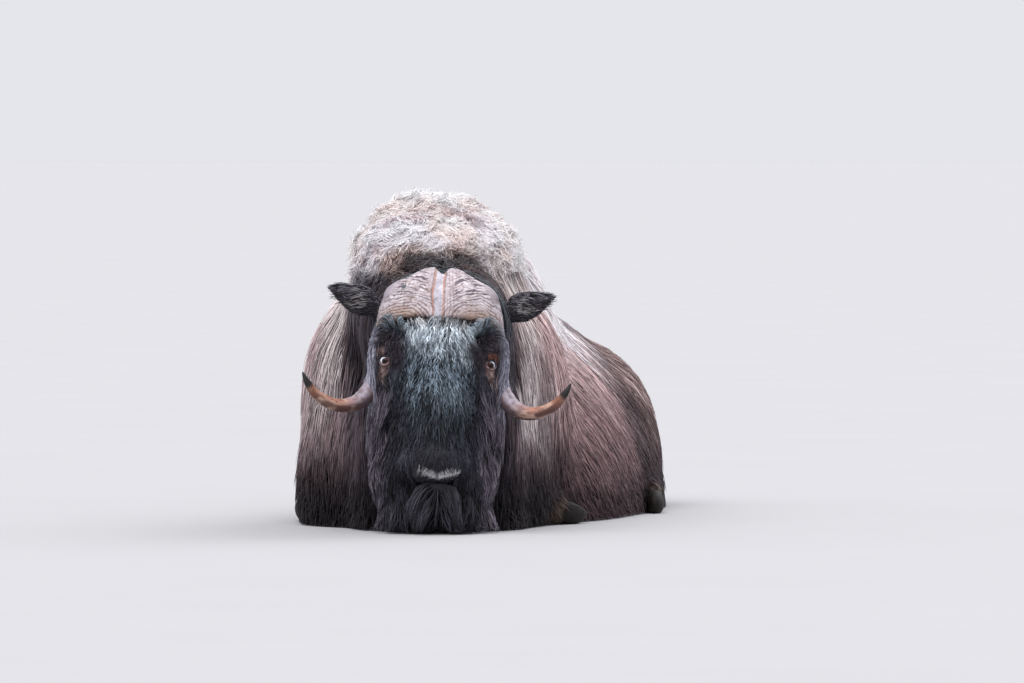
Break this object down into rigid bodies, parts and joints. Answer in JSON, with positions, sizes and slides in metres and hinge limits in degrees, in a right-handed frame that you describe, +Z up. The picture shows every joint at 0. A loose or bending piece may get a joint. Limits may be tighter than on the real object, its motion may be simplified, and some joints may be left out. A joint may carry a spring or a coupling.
{
  "type": "muskox figure",
  "caption": "Life-size bull muskox lying on its belly with folded legs, a low forward head, a horn boss with down-curved horns and a long shaggy coat.",
  "frame": {"origin": "middle of the bounding box, at floor level", "axes": "+Z up, the body lies along Y with the rump towards +Y and the head towards -Y, +X is the animal's left"},
  "size_m": [0.9456, 2.103, 0.8576],
  "materials": {
    "coat": "long brown guard hair with a pale saddle",
    "mane": "pale curly wool over the hump and tan locks at the neck",
    "face": "short dark hair grizzled with white",
    "leg": "short pale hair",
    "ear": "short dark hair with pale tufts inside",
    "eye": "wet dark brown",
    "horn": "pale ridged boss, amber beam and black tip",
    "claw": "dull dark hoof"
  },
  "bodies": {
    "root": {"trunk": "coat", "neck": "mane", "head": "face", "tail": "coat", "foreleg_left": "leg", "foreleg_right": "leg", "hindleg_left": "leg", "hindleg_right": "leg", "ear_left": "ear", "ear_right": "ear", "eye_left": "eye", "eye_right": "eye", "horn_left": "horn", "horn_right": "horn", "claw_fore_left_inner": "claw", "claw_fore_left_outer": "claw", "claw_fore_right_inner": "claw", "claw_fore_right_outer": "claw", "claw_hind_left_inner": "claw", "claw_hind_left_outer": "claw", "claw_hind_right_inner": "claw", "claw_hind_right_outer": "claw"}
  },
  "joints": []
}
